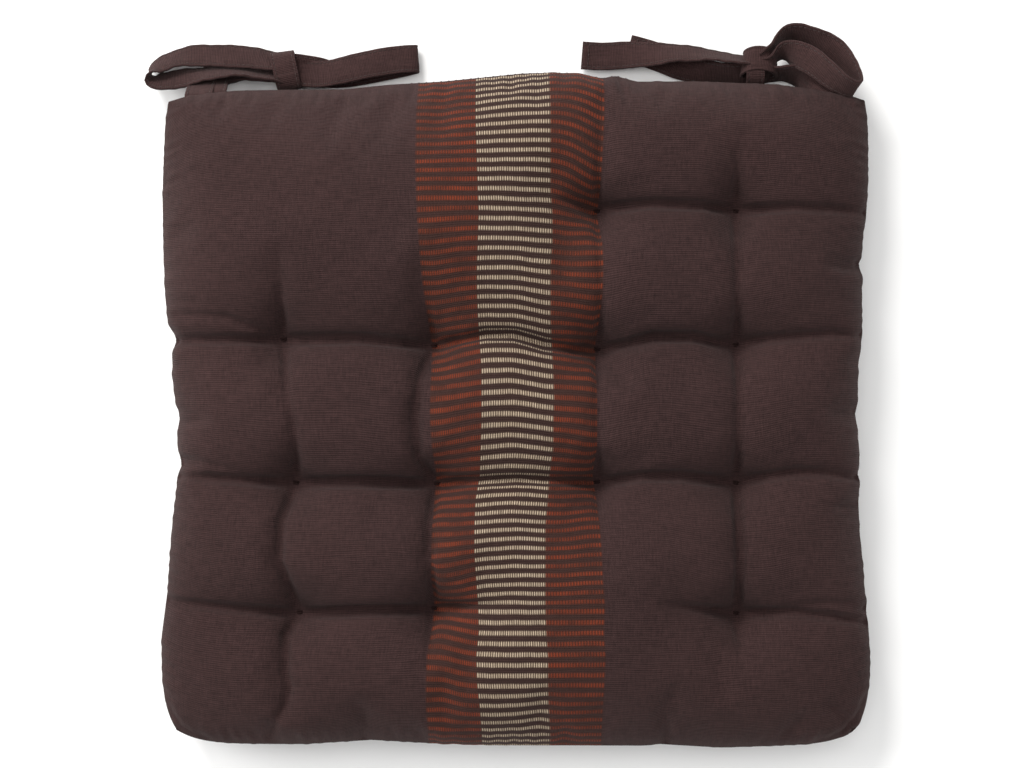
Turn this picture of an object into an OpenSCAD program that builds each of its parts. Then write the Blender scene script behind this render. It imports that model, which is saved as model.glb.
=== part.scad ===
// Tufted square chair seat pad: two cloth panels sewn round the edge, a soft
// filling, thirteen through-tufts and a pair of flat tapes tied in a bow at
// each back corner.  Millimetres, +Z up, front towards -Y, ties towards +Y.

/* [Pad] */
// Width across the seam, left to right
pad_width = 402; // [360:1:440]
// Depth across the seam at the side edges, front to back
pad_depth = 372; // [340:1:410]
// Height of the puffs above the surface the pad lies on
pad_height = 64; // [50:1:80]
// Height of the edge seam above that surface
seam_height = 28; // [22:1:36]
// Thickness of each cloth panel
cloth = 1.2; // [0.8:0.1:2]
// Width of the seam allowance turned inside
seam_allowance = 8; // [6:0.5:12]
// How far the left edge is drawn in at its waist
waist_left = 8; // [0:0.5:14]
// How far the right edge is drawn in at its waist
waist_right = 6; // [0:0.5:14]
// How far the back edge swells at its middle
back_swell = 8; // [0:0.5:14]

/* [Tufts] */
// Depth of the dip in the top at each tuft
tuft_dip = 17; // [8:1:24]
// Radius over which each tuft gathers the top
tuft_reach = 24; // [15:1:35]
// Depth of the valley between tufts of a row
row_valley = 11; // [0:1:18]
// Depth of the valley between tufts of a column
column_valley = 4; // [0:1:12]
// Depth of the dimple in the underside at each tuft
under_dip = 9; // [4:1:14]
// Span of the tufting stitch
stitch_span = 4; // [3:0.5:8]
// Radius of the tufting thread
tuft_thread_radius = 0.6; // [0.4:0.1:1]

/* [Ties] */
// Width of the tie tapes
tape_width = 16; // [12:1:22]
// Thickness of the folded and stitched tapes
tape_thickness = 1.6; // [1:0.1:2.2]
// Distance of the left tie from the middle of the pad
left_tie_x = 176; // [150:1:182]
// Distance of the right tie from the middle of the pad
right_tie_x = 180; // [160:1:186]
// Distance of the topstitching from the tape's edge
topstitch_margin = 1.6; // [1:0.1:3]
// Thickness of the sewing thread
thread = 0.5; // [0.3:0.1:0.8]

/* [Hidden] */

brown = [0.20, 0.12, 0.11];
dark_brown = [0.15, 0.09, 0.08];
fibre_white = [0.92, 0.92, 0.90];

half_w = pad_width / 2;
half_d = pad_depth / 2;
mid_y = -3;             // middle of the side edges
seam_gap = 0.1;         // half the gap between the two seam allowances
fill_gap = 1.0;         // filling clear of the cloth

// tuft positions, row by row from the back
tufts = [
    [46, 112], [124, 113],
    [-131, 40], [-46, 37], [46, 35], [124, 37],
    [-124, -41], [-45, -41], [46, -40], [124, -41],
    [-122, -113], [-46, -112], [124, -114]
];

// grid lines across the pad, closer at the seam and one through each tuft row
us = [-1, -0.985, -0.95, -0.89, -0.81, -0.72, -0.63, -0.53, -0.43, -0.33,
      -0.23, -0.12, 0, 0.12, 0.23, 0.33, 0.43, 0.53, 0.62, 0.71, 0.8, 0.89,
      0.95, 0.985, 1];
vs = [-1, -0.985, -0.95, -0.89, -0.8, -0.7, -0.59, -0.49, -0.39, -0.29,
      -0.2, -0.1, 0, 0.11, 0.21, 0.32, 0.42, 0.52, 0.62, 0.71, 0.8, 0.89,
      0.95, 0.985, 1];
n = len(us) - 1;

function bell(d) = exp(-d * d);
function tent(d, w) = max(0, 1 - abs(d) / w);
function ramp(x, a, b) = min(1, max(0, (x - a) / (b - a)));

// plan position of a point of the panels, u and v from -1 to 1
function corner(v) = v > 0 ? 0.022 : 0.045;
function plan_x(u, v) = u * (half_w * (1 - corner(v) * pow(abs(v), 14))
    - (u < 0 ? waist_left * bell((v + 0.1) / 0.38)
             : waist_right * bell((v - 0.02) / 0.42)));
function plan_y(u, v) = mid_y + v * (half_d * (1 - corner(v) * pow(abs(u), 14))
    + (v > 0 ? back_swell * bell((u - 0.08) / 0.4) : 3 * bell((u - 0.3) / 0.6)));

// rise of the panels, 0 at the seam and 1 inside
function rise(u, v) = sqrt(max(0, 1 - pow(abs(u), 4))) * sqrt(max(0, 1 - pow(abs(v), 4)));
function gather(x, y, reach) = max([for (t = tufts) bell(norm([x - t[0], y - t[1]]) / reach)]);
function valleys(x, y) = max(
    row_valley * max(
        tent(y - 112, 20) * ramp(x, 0, 40),
        tent(y - 37, 20),
        tent(y + 41, 20),
        tent(y + 113, 20) * max(ramp(-x, 0, 40), ramp(x, 60, 100))),
    column_valley * max(
        tent(x - 124, 18),
        tent(x + 127, 18) * ramp(-y, -60, -30),
        tent(x - 46, 18) * ramp(y, -60, -30),
        tent(x + 46, 18) * ramp(-y, -60, -30)));
function top_z(u, v) =
    let (x = plan_x(u, v), y = plan_y(u, v), r = rise(u, v))
    seam_height + (pad_height - seam_height
        - valleys(x, y) - tuft_dip * gather(x, y, tuft_reach)) * r;
function bottom_z(u, v) =
    let (x = plan_x(u, v), y = plan_y(u, v))
    max(0, seam_height * (1 - 1.3 * rise(u, v)),
        under_dip * gather(x, y, 16) - 0.4);

function point(u, v, top) = [plan_x(u, v), plan_y(u, v), top ? top_z(u, v) : bottom_z(u, v)];
function unit(a) = a / norm(a);
// unit normal pointing out of the pad
function out_dir(u, v, top) =
    let (e = 0.02, ua = max(-1, u - e), ub = min(1, u + e), va = max(-1, v - e), vb = min(1, v + e),
         c = cross(point(ub, v, top) - point(ua, v, top), point(u, vb, top) - point(u, va, top)))
    unit(top ? c : -c);
// the panel's surface moved inwards by d
function inset(u, v, top, d) = point(u, v, top) - d * out_dir(u, v, top);

// index lists of a square grid and its rim
function grid_faces(a, m, up) = [for (j = [0 : m - 1], i = [0 : m - 1])
    let (p = a + j * (m + 1) + i, q = p + 1, s = p + m + 2, t = p + m + 1)
    each (up ? [[p, s, q], [p, t, s]] : [[p, q, s], [p, s, t]])];
function rim(m) = concat(
    [for (i = [0 : m - 1]) i],
    [for (j = [0 : m - 1]) j * (m + 1) + m],
    [for (i = [m : -1 : 1]) m * (m + 1) + i],
    [for (j = [m : -1 : 1]) j * (m + 1)]);
function strip(a, b, flip) = let (k = len(a)) [for (i = [0 : k - 1])
    let (i2 = (i + 1) % k)
    each (flip ? [[a[i], b[i2], a[i2]], [a[i], b[i], b[i2]]]
               : [[a[i], a[i2], b[i2]], [a[i], b[i2], b[i]]])];

function drawn_in(p, d) = [p[0] * (1 - d / half_w), mid_y + (p[1] - mid_y) * (1 - d / half_d), p[2]];
function at_height(p, z) = [p[0], p[1], z];

// one cloth panel: outer face, seam allowance turned inside, inner face
module panel(top) {
    s = top ? 1 : -1;
    z0 = seam_height + s * seam_gap;
    z1 = z0 + s * cloth;
    m1 = (n + 1) * (n + 1);
    r = rim(n);
    k = len(r);
    outer = [for (v = vs, u = us) (abs(u) == 1 || abs(v) == 1)
        ? at_height(point(u, v, top), z0) : point(u, v, top)];
    inner = [for (v = vs, u = us) (abs(u) == 1 || abs(v) == 1)
        ? at_height(drawn_in(point(u, v, top), cloth), z1) : inset(u, v, top, cloth)];
    ring1 = [for (i = r) at_height(drawn_in(outer[i], seam_allowance), z0)];
    ring2 = [for (i = r) at_height(drawn_in(outer[i], seam_allowance), z1)];
    ids_outer = r;
    ids1 = [for (i = [0 : k - 1]) 2 * m1 + i];
    ids2 = [for (i = [0 : k - 1]) 2 * m1 + k + i];
    ids_inner = [for (i = r) m1 + i];
    polyhedron(
        points = concat(outer, inner, ring1, ring2),
        faces = concat(
            grid_faces(0, n, top), grid_faces(m1, n, !top),
            strip(ids_outer, ids1, !top),
            strip(ids1, ids2, !top),
            strip(ids2, ids_inner, !top)));
}

module top_panel() color(brown) panel(true);
module bottom_panel() color(brown) panel(false);

// soft filling between the panels, stopping short of the seam allowance
module fibre_filling() {
    m = n - 6;
    d = cloth + fill_gap;
    m1 = (m + 1) * (m + 1);
    upper = [for (j = [3 : n - 3], i = [3 : n - 3]) inset(us[i], vs[j], true, d)];
    lower = [for (j = [3 : n - 3], i = [3 : n - 3]) inset(us[i], vs[j], false, d)];
    r = rim(m);
    color(fibre_white) polyhedron(
        points = concat(upper, lower),
        faces = concat(grid_faces(0, m, true), grid_faces(m1, m, false),
            strip(r, [for (i = r) m1 + i], false)));
}

// ---- flat bands and threads carried along a route ----
// each route point: [x, y, z, wx, wy, wz], w pointing across the band
function blend4(a, b, c, d, t) =
    0.5 * ((2 * b) + (c - a) * t + (2 * a - 5 * b + 4 * c - d) * t * t
        + (3 * b - a - 3 * c + d) * t * t * t);
function smooth(r, k) = let (m = len(r) - 1) concat(
    [for (i = [0 : m - 1], j = [0 : k - 1])
        blend4(r[max(0, i - 1)], r[i], r[i + 1], r[min(m, i + 2)], j / k)],
    [r[m]]);
function xyz(p) = [p[0], p[1], p[2]];
function across(p) = [p[3], p[4], p[5]];
function along(r, i) = unit(xyz(r[min(len(r) - 1, i + 1)]) - xyz(r[max(0, i - 1)]));
function side_dir(r, i) = let (t = along(r, i), w = across(r[i])) unit(w - (w * t) * t);
function face_dir(r, i) = cross(along(r, i), side_dir(r, i));

module band(r, w, h, aw = 0, ah = 0) {
    m = len(r);
    pts = [for (i = [0 : m - 1])
        let (p = xyz(r[i]), s = side_dir(r, i), f = face_dir(r, i), c = p + aw * s + ah * f)
        each [c - s * w / 2 - f * h / 2, c + s * w / 2 - f * h / 2,
              c + s * w / 2 + f * h / 2, c - s * w / 2 + f * h / 2]];
    sides = [for (i = [0 : m - 2], j = [0 : 3])
        let (a = 4 * i + j, b = 4 * i + (j + 1) % 4)
        each [[a, b + 4, b], [a, a + 4, b + 4]]];
    polyhedron(points = pts, faces = concat(
        [[0, 1, 2], [0, 2, 3]], sides,
        [[4 * m - 4, 4 * m - 2, 4 * m - 3], [4 * m - 4, 4 * m - 1, 4 * m - 2]]));
}

module ring_thread(pts, h) {
    m = len(pts);
    q = [for (i = [0 : m - 1])
        let (t = unit(pts[(i + 1) % m] - pts[(i + m - 1) % m]), s = unit([t[1], -t[0], 0]), p = pts[i])
        each [p - s * h / 2 - [0, 0, h / 2], p + s * h / 2 - [0, 0, h / 2],
              p + s * h / 2 + [0, 0, h / 2], p - s * h / 2 + [0, 0, h / 2]]];
    polyhedron(points = q, faces = [for (i = [0 : m - 1], j = [0 : 3])
        let (i2 = (i + 1) % m, a = 4 * i + j, b = 4 * i + (j + 1) % 4, c = 4 * i2 + (j + 1) % 4, d = 4 * i2 + j)
        each [[a, c, b], [a, d, c]]]);
}

// seam line stitched through both allowances just inside the edge
module perimeter_seam_thread() {
    r = rim(n);
    g = [for (v = vs, u = us) at_height(drawn_in(point(u, v, true), 2.5), seam_height)];
    color(dark_brown) ring_thread([for (i = r) g[i]], thread);
}

// hand stitches closing the gap in the back seam
closing_from = -60;
closing_to = 66;
closing_stitches = 30;
module closing_seam_thread() {
    route = [for (i = [0 : closing_stitches])
        let (x = closing_from + (closing_to - closing_from) * i / closing_stitches, u = x / half_w)
        [x, plan_y(u, 1) + 0.1, seam_height + (i % 2 == 0 ? 1.3 : -1.3), 0, 1, 0]];
    color(dark_brown) band(route, thread, thread);
}

// one through-tuft: a long loop of thread with a stitch above and a knot below
module tuft_thread(i) {
    x = tufts[i][0];
    y = tufts[i][1];
    u = x / half_w;
    v = (y - mid_y) / half_d;
    z_top = top_z(u, v) + 1.2;
    z_low = bottom_z(u, v) - 0.8;
    w = stitch_span;
    t = 2 * tuft_thread_radius;
    color(dark_brown) union() {
        translate([x, y, z_low]) rotate([90, 0, 0]) linear_extrude(t, center = true) difference() {
            translate([-w / 2, 0]) square([w, z_top - z_low]);
            translate([t - w / 2, t]) square([w - 2 * t, z_top - z_low - 2 * t]);
        }
        translate([x, y, z_low - 1]) cylinder(h = 1.6, r = 1.5, $fn = 24);
    }
}
module tuft_thread_01() tuft_thread(0);
module tuft_thread_02() tuft_thread(1);
module tuft_thread_03() tuft_thread(2);
module tuft_thread_04() tuft_thread(3);
module tuft_thread_05() tuft_thread(4);
module tuft_thread_06() tuft_thread(5);
module tuft_thread_07() tuft_thread(6);
module tuft_thread_08() tuft_thread(7);
module tuft_thread_09() tuft_thread(8);
module tuft_thread_10() tuft_thread(9);
module tuft_thread_11() tuft_thread(10);
module tuft_thread_12() tuft_thread(11);
module tuft_thread_13() tuft_thread(12);

// ---- ties ----
hinge_out = 3;          // hinge line behind the seam
left_hinge = [-left_tie_x, plan_y(-left_tie_x / half_w, 1) + hinge_out, seam_height];
right_hinge = [right_tie_x, plan_y(right_tie_x / half_w, 1) + hinge_out, seam_height];

// routes: x and y from the hinge, z above the surface
left_a = [
    [0, 2.4, 28.2, 1, 0, 0], [0, 5, 25.4, 1, 0, 0], [0, 6.8, 19, 1, 0, 0], [0.5, 7.8, 12, 1, -0.1, 0],
    [5, 8.2, 7.6, 0.8, -0.6, 0], [15, 8.8, 6.5, 0.3, -1, 0], [30, 9, 6.5, 0, -1, 0], [55, 9, 6.5, 0, -1, 0],
    [69, 9, 6.6, 0, -1, 0], [89, 11, 6.6, -0.1, -1, 0], [107, 13, 6.5, -0.1, -1, 0], [117, 14, 6, -0.1, -1, 0],
    [121, 14.4, 4, -0.1, -1, 0], [117, 14, 2.2, -0.1, -1, 0], [107, 13, 1.8, -0.1, -1, 0],
    [89, 11, 1.8, -0.1, -1, 0], [74, 9.5, 2.4, 0, -1, 0], [62, 9, 3.2, 0, -1, 0]];
left_b = [
    [0, 1.9, 26.2, 1, 0, 0], [0, 2.8, 23.5, 1, 0, 0], [0, 4.4, 16, 1, 0, 0], [0.5, 5.4, 8, 1, -0.1, 0],
    [5, 7, 4, 0.8, -0.6, 0], [15, 8.8, 2.8, 0.3, -1, 0], [29, 9, 2.7, 0, -1, 0], [53, 9, 2.7, 0, -1, 0]];
left_loop_route = [
    [54, 9, 10.2, 0, -1, 0], [39, 9, 10.2, 0, -1, 0], [29, 12, 16, 0, -1, 0.3], [15, 16, 18, 0, -0.8, 0.7],
    [-6, 17, 13, 0, -0.7, 0.7], [-21, 16, 10.5, 0, -0.5, 0.9], [-30, 13.5, 10, 0, -0.3, 1],
    [-28, 11, 10, 0, 0, 1], [-13, 11, 10, 0, 0, 1], [0, 11.4, 11.5, 0, -0.2, 1],
    [12, 12, 13.4, 0, -0.6, 0.8], [24, 10, 11, 0, -1, 0.2], [37, 9, 8.4, 0, -1, 0], [54, 9, 8.4, 0, -1, 0]];
right_a = [
    [0, 2.4, 28.2, 1, 0, 0], [0, 5, 25.4, 1, 0, 0], [0, 6.8, 19, 1, 0, 0], [-0.5, 8.4, 11, 1, 0.1, 0],
    [-4, 10.4, 6.8, 0.8, 0.6, 0], [-12, 12.8, 4.9, 0.3, 1, 0], [-24, 14, 4.8, 0, 1, 0], [-48, 14, 4.8, 0, 1, 0],
    [-60, 15, 4.6, 0, 1, 0], [-76, 16.5, 4.2, 0, 1, 0], [-100, 16.5, 3.6, 0, 1, 0],
    [-124, 17, 3.4, 0, 1, 0], [-142, 17.5, 3.2, 0, 1, 0]];
right_b = [
    [0, 1.9, 26.2, 1, 0, 0], [0, 2.8, 23.5, 1, 0, 0], [0, 4.6, 16, 1, 0, 0], [-0.5, 6, 8, 1, 0.1, 0],
    [-4, 8.4, 3.5, 0.8, 0.6, 0], [-12, 12, 2.6, 0.3, 1, 0], [-26, 14, 2.6, 0, 1, 0], [-46, 14, 2.6, 0, 1, 0],
    [-60, 13, 1.6, 0, 1, 0], [-80, 14, 1, 0.1, 1, 0], [-100, 18, 1, 0.1, 1, 0], [-116, 22, 1, 0.1, 1, 0]];
right_loop_route = [
    [-44, 14, 8.5, 0, 1, 0], [-32, 15, 9.5, 0.3, 1, 0], [-24, 23, 14, 0.5, 0.6, 0.6], [-14, 28, 16, 0.3, 0.3, 0.9],
    [0, 26, 16, 0, 0, 1], [10, 19, 16, 0, 0, 1], [15.5, 11, 16, 0, 0, 1], [15, 5.5, 16, 0, 0, 1],
    [12.6, 6.5, 16, 0, 0, 1], [10.5, 10.5, 16, 0, 0, 1], [4, 14, 16, 0, 0, 1], [-8, 18, 16, 0, 0.2, 1],
    [-20, 18, 13, 0, 0.7, 0.7], [-28, 15, 7.2, 0, 1, 0.1], [-34, 14, 6.6, 0, 1, 0], [-44, 14, 6.6, 0, 1, 0]];
wrap_length = 18;
left_wrap = [46, 9];
right_wrap = [-37, 14];

steps = 3;
stitch_out = tape_width / 2 - topstitch_margin;
stitch_up = tape_thickness / 2 + 0.05;

// flat end of the tapes caught in the seam, up to the hinge line
module tie_root(h) {
    translate([h[0] - tape_width / 2 - 0.5, h[1] - hinge_out - seam_allowance + 1, h[2] - 1])
        cube([tape_width + 1, seam_allowance - 1 + hinge_out, 2]);
    translate([h[0] - tape_width / 2 - 0.5, h[1], h[2]]) rotate([0, 90, 0])
        cylinder(h = tape_width + 1, r = 1, $fn = 24);
}

module rounded(w, h, r) {
    polygon([for (q = [0 : 3], k = [0 : 4])
        let (cx = (q == 0 || q == 3 ? 1 : -1) * (w / 2 - r), cy = (q < 2 ? 1 : -1) * (h / 2 - r), a = q * 90 + k * 22.5)
        [cx + r * cos(a), cy + r * sin(a)]]);
}

// the turn of tape that makes the knot
module wrap(c, top) {
    z = (top + 0.1) / 2;
    h = top - 0.1;
    translate([c[0] - wrap_length / 2, c[1], z]) rotate([90, 0, 90])
        linear_extrude(wrap_length) difference() {
            rounded(tape_width + 4.2, h, 3);
            rounded(tape_width + 1, h - 2 * tape_thickness, 1.4);
        }
}

module placed(h) translate([h[0], h[1], 0]) children();

module left_tie_root() color(brown) tie_root(left_hinge);
module left_tie_tape_a() color(brown) placed(left_hinge)
    band(smooth(left_a, steps), tape_width, tape_thickness);
module left_tie_tape_b() color(brown) placed(left_hinge)
    band(smooth(left_b, steps), tape_width, tape_thickness);
module left_tie_knot() color(brown) placed(left_hinge) wrap(left_wrap, 12.8);
module left_tie_loop() color(brown) placed(left_hinge)
    band(smooth(left_loop_route, steps), tape_width, tape_thickness);
module left_tie_stitching() color(dark_brown) placed(left_hinge) {
    for (k = [-1, 1]) {
        band(smooth([for (i = [7 : 12]) left_a[i]], steps), thread, thread, k * stitch_out, -stitch_up);
        band(smooth([for (i = [2 : 12]) left_loop_route[i]], steps), thread, thread, k * stitch_out, -stitch_up);
    }
}
module right_tie_root() color(brown) tie_root(right_hinge);
module right_tie_tape_a() color(brown) placed(right_hinge)
    band(smooth(right_a, steps), tape_width, tape_thickness);
module right_tie_tape_b() color(brown) placed(right_hinge)
    band(smooth(right_b, steps), tape_width, tape_thickness);
module right_tie_knot() color(brown) placed(right_hinge) wrap(right_wrap, 11.1);
module right_tie_loop() color(brown) placed(right_hinge)
    band(smooth(right_loop_route, steps), tape_width, tape_thickness);
module right_tie_stitching() color(dark_brown) placed(right_hinge) {
    for (k = [-1, 1]) {
        band(smooth([for (i = [8 : 12]) right_a[i]], steps), thread, thread, k * stitch_out, stitch_up);
        band(smooth([for (i = [2 : 13]) right_loop_route[i]], steps), thread, thread, k * stitch_out, stitch_up);
    }
}

top_panel();
bottom_panel();
fibre_filling();
perimeter_seam_thread();
closing_seam_thread();
tuft_thread_01();
tuft_thread_02();
tuft_thread_03();
tuft_thread_04();
tuft_thread_05();
tuft_thread_06();
tuft_thread_07();
tuft_thread_08();
tuft_thread_09();
tuft_thread_10();
tuft_thread_11();
tuft_thread_12();
tuft_thread_13();
left_tie_root();
left_tie_tape_a();
left_tie_tape_b();
left_tie_knot();
left_tie_loop();
left_tie_stitching();
right_tie_root();
right_tie_tape_a();
right_tie_tape_b();
right_tie_knot();
right_tie_loop();
right_tie_stitching();
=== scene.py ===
"""Looks of the tufted chair seat pad: woven striped cover, tufts, seams and tied tapes."""
import math

import bpy
import numpy as np
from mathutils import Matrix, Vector


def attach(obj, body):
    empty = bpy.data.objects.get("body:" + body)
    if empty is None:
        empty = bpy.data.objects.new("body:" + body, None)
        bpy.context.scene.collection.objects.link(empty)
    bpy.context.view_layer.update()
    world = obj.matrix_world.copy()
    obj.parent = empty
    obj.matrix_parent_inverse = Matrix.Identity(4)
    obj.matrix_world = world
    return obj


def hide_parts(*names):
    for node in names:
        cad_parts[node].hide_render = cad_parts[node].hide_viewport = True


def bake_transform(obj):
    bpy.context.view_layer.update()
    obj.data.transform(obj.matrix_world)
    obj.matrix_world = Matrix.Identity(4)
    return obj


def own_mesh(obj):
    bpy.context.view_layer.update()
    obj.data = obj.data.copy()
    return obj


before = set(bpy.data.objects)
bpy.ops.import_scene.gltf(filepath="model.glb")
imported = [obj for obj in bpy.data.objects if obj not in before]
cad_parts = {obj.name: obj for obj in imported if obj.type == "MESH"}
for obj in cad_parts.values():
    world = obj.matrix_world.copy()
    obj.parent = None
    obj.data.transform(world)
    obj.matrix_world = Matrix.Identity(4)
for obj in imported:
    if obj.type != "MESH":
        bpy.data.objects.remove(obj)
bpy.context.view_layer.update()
scene = bpy.context.scene
MM = 0.001
SEAM_Z = 28.0

# ------------------------------------------------------------ camera, light, floor
CAM_X, CAM_Y, CAM_D = -2.0, 14.75, 1614.0     # mm; distance above the seam plane
cam_data = bpy.data.cameras.new("camera")
cam_data.type = "PERSP"
cam_data.lens = 100.0
cam_data.sensor_width = 36.0
cam_data.clip_start = 0.05
cam_data.clip_end = 20.0
cam = bpy.data.objects.new("camera", cam_data)
cam.location = (CAM_X * MM, CAM_Y * MM, (CAM_D + SEAM_Z) * MM)
cam.rotation_euler = (0.0, 0.0, 0.0)
scene.collection.objects.link(cam)
scene.camera = cam


def area_light(name, at, aim, size, power, color=(1, 1, 1)):
    data = bpy.data.lights.new(name, "AREA")
    data.shape = "DISK"
    data.size = size
    data.energy = power
    data.color = color
    ob = bpy.data.objects.new(name, data)
    ob.location = at
    ob.rotation_euler = (Vector(aim) - Vector(at)).to_track_quat("-Z", "Y").to_euler()
    scene.collection.objects.link(ob)
    return ob


area_light("key_light", (-1.25, 2.4, 2.15), (0, 0, 0), 1.2, 92.0, (1.0, 0.985, 0.965))
area_light("top_light", (0.2, 0.3, 2.6), (0, 0, 0), 2.0, 18.0, (1.0, 0.99, 0.98))
area_light("left_light", (-1.25, 0.35, 0.75), (-0.1, 0, 0), 0.9, 12.0, (1.0, 0.99, 0.985))
area_light("fill_light", (1.3, -1.4, 1.1), (0, 0, 0), 1.6, 4.0, (0.95, 0.97, 1.0))

world = bpy.data.worlds.new("studio")
scene.world = world
world.use_nodes = True
bg = world.node_tree.nodes["Background"]
bg.inputs["Color"].default_value = (1.0, 1.0, 1.0, 1.0)
bg.inputs["Strength"].default_value = 0.66
try:
    scene.view_settings.view_transform = "Standard"
    scene.view_settings.look = "None"
except TypeError:
    pass


def mesh_object(name, verts, faces, smooth=True):
    me = bpy.data.meshes.new(name)
    me.from_pydata([tuple(float(c) for c in v) for v in verts], [], [tuple(int(i) for i in f) for f in faces])
    me.update()
    if smooth:
        me.polygons.foreach_set("use_smooth", [True] * len(me.polygons))
    ob = bpy.data.objects.new(name, me)
    scene.collection.objects.link(ob)
    return ob


def catmull(points, per):
    """Smooth run of rows through the points, per steps between each pair."""
    p = np.asarray(points, float)
    n = len(p)
    out = []
    for i in range(n - 1):
        a, b, c, d = p[max(0, i - 1)], p[i], p[i + 1], p[min(n - 1, i + 2)]
        for j in range(per):
            t = j / per
            out.append(0.5 * (2 * b + (c - a) * t + (2 * a - 5 * b + 4 * c - d) * t * t
                              + (3 * b - a - 3 * c + d) * t ** 3))
    out.append(p[-1])
    return np.array(out)


def resample(rows, step):
    """Even spacing along the run, measured on its first three numbers."""
    rows = np.asarray(rows, float)
    seg = np.linalg.norm(np.diff(rows[:, :3], axis=0), axis=1)
    s = np.concatenate([[0], np.cumsum(seg)])
    n = max(2, int(round(s[-1] / step)) + 1)
    q = np.linspace(0, s[-1], n)
    return np.stack([np.interp(q, s, rows[:, k]) for k in range(rows.shape[1])], 1)


def hash_noise(x, y, seed=0.0):
    """Cheap smooth noise made of sines, the same on every run."""
    return (np.sin(x * 1.0 + 1.3 * y + seed) * 0.5 + np.sin(2.3 * x - 1.7 * y + 2.1 * seed + 0.7) * 0.3
            + np.sin(-3.1 * x + 4.3 * y + 0.9 * seed + 2.2) * 0.2)

# ------------------------------------------------------------ materials
class Nodes:
    """Small helper for building a node tree."""

    def __init__(self, name):
        self.mat = bpy.data.materials.new(name)
        self.mat.use_nodes = True
        self.nt = self.mat.node_tree
        self.nt.nodes.clear()
        self.out = self.nt.nodes.new("ShaderNodeOutputMaterial")
        self.bsdf = self.nt.nodes.new("ShaderNodeBsdfPrincipled")
        self.nt.links.new(self.bsdf.outputs["BSDF"], self.out.inputs["Surface"])

    def new(self, kind):
        return self.nt.nodes.new(kind)

    def put(self, socket, value):
        if isinstance(value, (int, float)):
            socket.default_value = value
        elif isinstance(value, (tuple, list)):
            socket.default_value = value
        else:
            self.nt.links.new(value, socket)

    def math(self, op, a, b=0.0, c=0.0, clamp=False):
        n = self.new("ShaderNodeMath")
        n.operation = op
        n.use_clamp = clamp
        self.put(n.inputs[0], a)
        if op not in ("SINE", "COSINE", "FRACT", "ABSOLUTE", "FLOOR", "SQRT"):
            self.put(n.inputs[1], b)
        if op in ("SMOOTH_MIN", "SMOOTH_MAX", "MULTIPLY_ADD", "COMPARE", "WRAP"):
            self.put(n.inputs[2], c)
        return n.outputs[0]

    def mix(self, fac, a, b, mode="MIX"):
        n = self.new("ShaderNodeMix")
        n.data_type = "RGBA"
        n.blend_type = mode
        self.put(n.inputs["Factor"], fac)
        self.put(n.inputs["A"], a)
        self.put(n.inputs["B"], b)
        return n.outputs["Result"]

    def step(self, x, lo, hi):
        n = self.new("ShaderNodeMapRange")
        n.interpolation_type = "SMOOTHSTEP"
        self.put(n.inputs["Value"], x)
        n.inputs["From Min"].default_value = lo
        n.inputs["From Max"].default_value = hi
        return n.outputs["Result"]

    def scale_to(self, x, lo, hi, a, b):
        n = self.new("ShaderNodeMapRange")
        self.put(n.inputs["Value"], x)
        n.inputs["From Min"].default_value = lo
        n.inputs["From Max"].default_value = hi
        n.inputs["To Min"].default_value = a
        n.inputs["To Max"].default_value = b
        return n.outputs["Result"]

    def noise(self, vec, scale, detail=2.0, rough=0.5, dims="3D"):
        n = self.new("ShaderNodeTexNoise")
        n.noise_dimensions = dims
        n.inputs["Scale"].default_value = scale
        n.inputs["Detail"].default_value = detail
        n.inputs["Roughness"].default_value = rough
        if vec is not None:
            self.put(n.inputs["Vector"], vec)
        return n.outputs["Fac"]

    def combine(self, x, y, z=0.0):
        n = self.new("ShaderNodeCombineXYZ")
        self.put(n.inputs[0], x)
        self.put(n.inputs[1], y)
        self.put(n.inputs[2], z)
        return n.outputs[0]

    def uv(self):
        n = self.new("ShaderNodeUVMap")
        n.uv_map = "weave"
        s = self.new("ShaderNodeSeparateXYZ")
        self.nt.links.new(n.outputs["UV"], s.inputs[0])
        return s.outputs[0], s.outputs[1]

    def object_coords(self):
        n = self.new("ShaderNodeTexCoord")
        return n.outputs["Object"]


BROWN_DARK = (0.0130, 0.0065, 0.0063, 1)
BROWN_LIGHT = (0.0570, 0.0290, 0.0278, 1)
CREAM = (0.51, 0.405, 0.290, 1)
CREAM_DIM = (0.180, 0.135, 0.095, 1)
RUST = (0.158, 0.0285, 0.0112, 1)
RUST_DIM = (0.050, 0.0145, 0.0090, 1)
ROW = 5.79        # mm between rows of the woven stripe
DASH = 1.354      # mm between its dashes


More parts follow.
